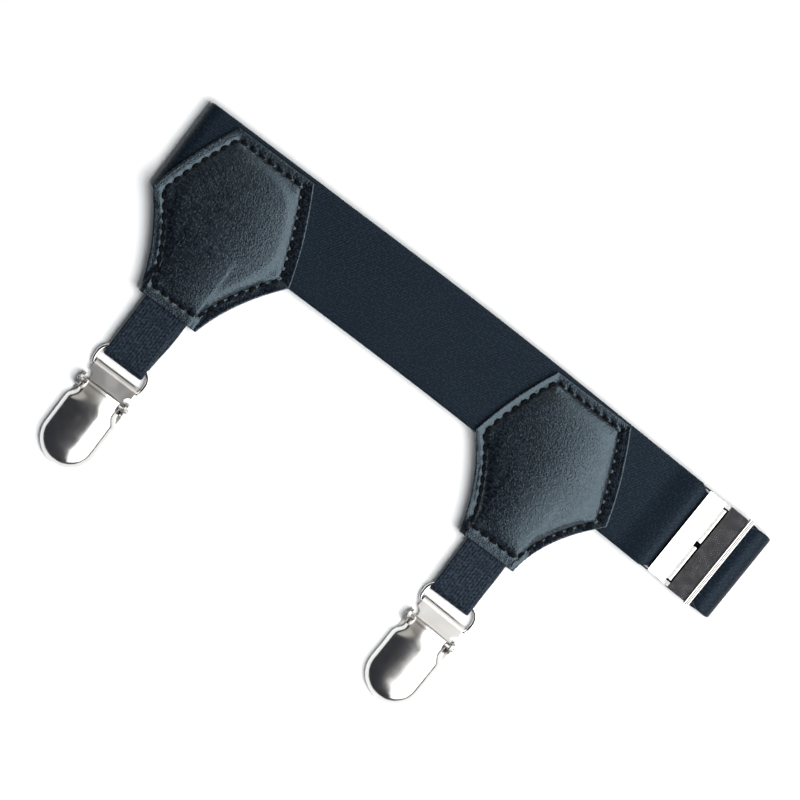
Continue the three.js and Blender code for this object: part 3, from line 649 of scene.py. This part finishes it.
# Wire rings: nickel-plated steel wire, bent to a loop that is flat at the clip. The strap runs
# round its far side, and the clip's base plate is folded back over its flat side.
RING_HALF, RING_HEIGHT, RING_TOP_CORNER = 7.45, 6.6, 3.7
RING_BOTTOM_WIDTH, RING_BOTTOM_HEIGHT = 0.95, 2.4
ROLL_RADIUS = 1.5


def nickel_plate(surface):
    """Bright plate with faint handling scratches and slightly uneven polish."""
    place = surface.in_millimetres()
    drawn = surface.noise(surface.stretched(place, (0.5, 2.4, 1.0)), 2.2, 4.0, 0.6)
    cloud = surface.noise(place, 0.5, 2.0)
    rough = 0.16 + cloud.between(0.35, 0.7) * 0.03 + drawn.between(0.5, 0.8) * 0.05
    height = drawn + cloud * 0.3
    bump = surface.node("ShaderNodeBump", {"Strength": 0.06, "Distance": 0.02 * MM, "Height": height})
    return {"Base Color": cloud.tint((0.70, 0.68, 0.66), (0.80, 0.79, 0.77)), "Roughness": rough,
            "Normal": bump}


nickel = finish("nickel_plate", nickel_plate, Metallic=1.0)


def ring_outline():
    """The wire's centre line: flat side first, small corners there and wide ones at the strap."""
    top, width, height = RING_TOP_CORNER, RING_BOTTOM_WIDTH, RING_BOTTOM_HEIGHT
    right = np.concatenate([
        [(0, 0), (3, 0), (5, 0)],
        arc(0, 0, 1, -90, 0, 12) * (width, height) + (RING_HALF - width, height),
        arc(RING_HALF - top, RING_HEIGHT - top, top, 0, 90, 12),
        [(2.5, RING_HEIGHT), (0, RING_HEIGHT)]])
    return np.concatenate([right, right[-2:0:-1] * (-1, 1)])


def ring_skin():
    """Places round the wire along its whole loop, lying level with its flat side at zero."""
    outline = ring_outline()
    ahead = np.roll(outline, -1, 0) - np.roll(outline, 1, 0)
    ahead /= np.linalg.norm(ahead, axis=1)[:, None]
    turn = np.radians(np.arange(0, 360, 22.5))[None]
    x = outline[:, :1] + WIRE_RADIUS * ahead[:, 1:] * np.cos(turn)
    y = outline[:, 1:] - WIRE_RADIUS * ahead[:, :1] * np.cos(turn)
    return x, y, WIRE_RADIUS * np.sin(turn) + 0 * x


x, y, z = ring_skin()
for side, row in SIDES.items():
    slope = math.atan2(sag(row["roll_y"] + RING_HEIGHT) - ROLL_RADIUS, RING_HEIGHT)
    rings = np.stack([row["clip_x"] + x, row["roll_y"] + y * math.cos(slope) - z * math.sin(slope),
                      ROLL_RADIUS + y * math.sin(slope) + z * math.cos(slope)], -1)
    faces = faces_between(0, *x.shape, True)
    ring = new_piece(f"wire_ring_{side}", rings.reshape(-1, 3), faces, nickel, "band")
    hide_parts(f"strap_ring_{side}")

# Clip covers: the levers of the clips, each a dome drawn from nickel-plated sheet. A cover turns on
# the pin inside its collar, and its rim presses the sock on the base plate.
SHEET = 0.7
PIN_DROP, PIN_Z = 5.1, 3.1
COLLAR_HALF, COLLAR_RADIUS, COVER_HALF = 6.15, 1.6, 7.6
COVER_TOP, COVER_RIM, COVER_START = 5.6, 1.1, -0.75
SHOULDER_START, SHOULDER_END, RIDGE_END, TOE_START, TOE = 2.4, 5.5, 7.0, 13.9, 21.2
CROWN = 2.6


def cover_grid(inset):
    """The dome's cross-sections from the collar to the toe, set in by the sheet's thickness."""
    body = np.linspace(COVER_START, TOE_START, 44)
    toe_turn = np.linspace(0, 1.5, 22)[1:]
    half = np.concatenate([
        COLLAR_HALF + (COVER_HALF - COLLAR_HALF) * eased(body, SHOULDER_START, SHOULDER_END),
        COVER_HALF * np.cos(toe_turn)])
    barrel = np.sqrt(COLLAR_RADIUS ** 2 - np.minimum(body, 0) ** 2) + PIN_Z - COVER_RIM
    risen = np.sin(np.clip(body / RIDGE_END, 0, 1) * math.pi / 2)
    ridge = barrel + (COVER_TOP - COVER_RIM - barrel) * risen
    toe = (COVER_TOP - COVER_RIM) * (1 - np.sin(toe_turn) ** CROWN) ** (1 / CROWN)
    height = np.concatenate([ridge, toe])
    reach = np.concatenate([body, TOE_START + (TOE - TOE_START - inset) * np.sin(toe_turn)])
    turn = np.linspace(0, math.pi, 49)
    across = -np.sign(np.cos(turn)) * np.abs(np.cos(turn)) ** (2 / CROWN)
    lift = np.sin(turn) ** (2 / CROWN)
    thin = np.minimum(inset, height * 0.8)
    x = across[None] * np.maximum(half - inset, 0.05)[:, None]
    z = COVER_RIM + lift[None] * (height - thin)[:, None]
    return np.stack([x, -np.repeat(reach[:, None], len(turn), 1), z], -1)


def on_pin(row, points):
    """Turns points with the clip and moves them from the middle of the hinge pin to its place."""
    c, s = math.cos(row["turn"]), math.sin(row["turn"])
    x, y, z = points.reshape(-1, 3).T
    middle = np.array([row["clip_x"] + s * PIN_DROP, row["roll_y"] - c * PIN_DROP, 0])
    return np.stack([x * c - y * s, x * s + y * c, z], -1) + middle


def soften(piece, width, angle=35):
    """Breaks the sheet metal's edges without changing its size."""
    bevel = piece.modifiers.new("edge", "BEVEL")
    bevel.width = width * MM
    bevel.segments = 3
    bevel.limit_method = "ANGLE"
    bevel.angle_limit = math.radians(angle)
    bevel.harden_normals = True


for side, row in SIDES.items():
    outer, inner = cover_grid(0), cover_grid(SHEET)
    points = on_pin(row, np.concatenate([outer, inner]))
    faces = sheet_faces(*outer.shape[:2])[:, ::-1]
    cover = new_piece(f"domed_cover_{side}", points, faces, nickel, f"cover_{side}")
    soften(cover, 0.15, angle=50)
    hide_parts(f"clip_cover_{side}")

# Clip bases and hinge pins: the base plate is pressed sheet, folded back over the ring, and keeps
# its solid with broken edges and a satin plate. The pin is steel with rounded ends. It is coloured
# darker than the plates, partly as its own metal and partly as painted shade at the hinge.
PIN_RADIUS, PIN_TIP_RADIUS, PIN_HALF, PIN_DOME = 0.6, 0.02, 7.8, 0.35


def satin(surface):
    """Pressed plate that was not polished: the same metal, rougher and a little mottled."""
    place = surface.in_millimetres()
    cloud = surface.noise(place, 0.25, 2.0)
    rough = 0.28 + cloud.between(0.35, 0.7) * 0.06
    return {"Base Color": cloud.tint((0.66, 0.64, 0.61), (0.76, 0.74, 0.71)), "Roughness": rough}


satin_nickel = finish("satin_nickel", satin, Metallic=1.0)
# The pins' dark grey colour is partly the steel's own and partly painted shade at the hinge.
pin_steel_and_shade = finish("pin_steel_and_shade", lambda surface: {}, Metallic=1.0, Roughness=0.3,
                    Base_Color=(0.45, 0.44, 0.42, 1))


def pin_skin():
    """Places round the pin, ring by ring from one domed end to the other."""
    dome = np.linspace(0, math.pi / 2, 7)
    domed, rise = PIN_DOME * (1 - np.cos(dome)), PIN_RADIUS * np.sin(dome)
    along = np.r_[-PIN_HALF + domed, (PIN_HALF - domed)[::-1]][:, None]
    radius = np.r_[rise, rise[::-1]][:, None] + PIN_TIP_RADIUS
    turn = np.radians(np.arange(0, 360, 15))[None]
    return np.stack([along + 0 * turn, radius * np.cos(turn), PIN_Z + radius * np.sin(turn)], -1)


pin_rings = pin_skin()
for side, row in SIDES.items():
    pin = new_piece(f"hinge_pin_{side}", on_pin(row, pin_rings), capped(0, *pin_rings.shape[:2]),
                    pin_steel_and_shade, "band")
    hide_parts(f"clip_pin_{side}")


def plate_solid(name, metal):
    """Keeps a solid of pressed sheet as it is, with its plate and broken edges."""
    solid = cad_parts[name]
    solid.data.materials.clear()
    solid.data.materials.append(metal)
    soften(solid, 0.1)


for side in SIDES:
    plate_solid(f"clip_base_{side}", satin_nickel)

# Buckle: two halves of pressed, nickel-plated sheet. The hook's plate has a bar that the band is
# sewn round and two tongues folded under. The slide's bar carries the band's loose end.
for half in ("hook", "slide"):
    plate_solid(f"buckle_{half}", nickel)
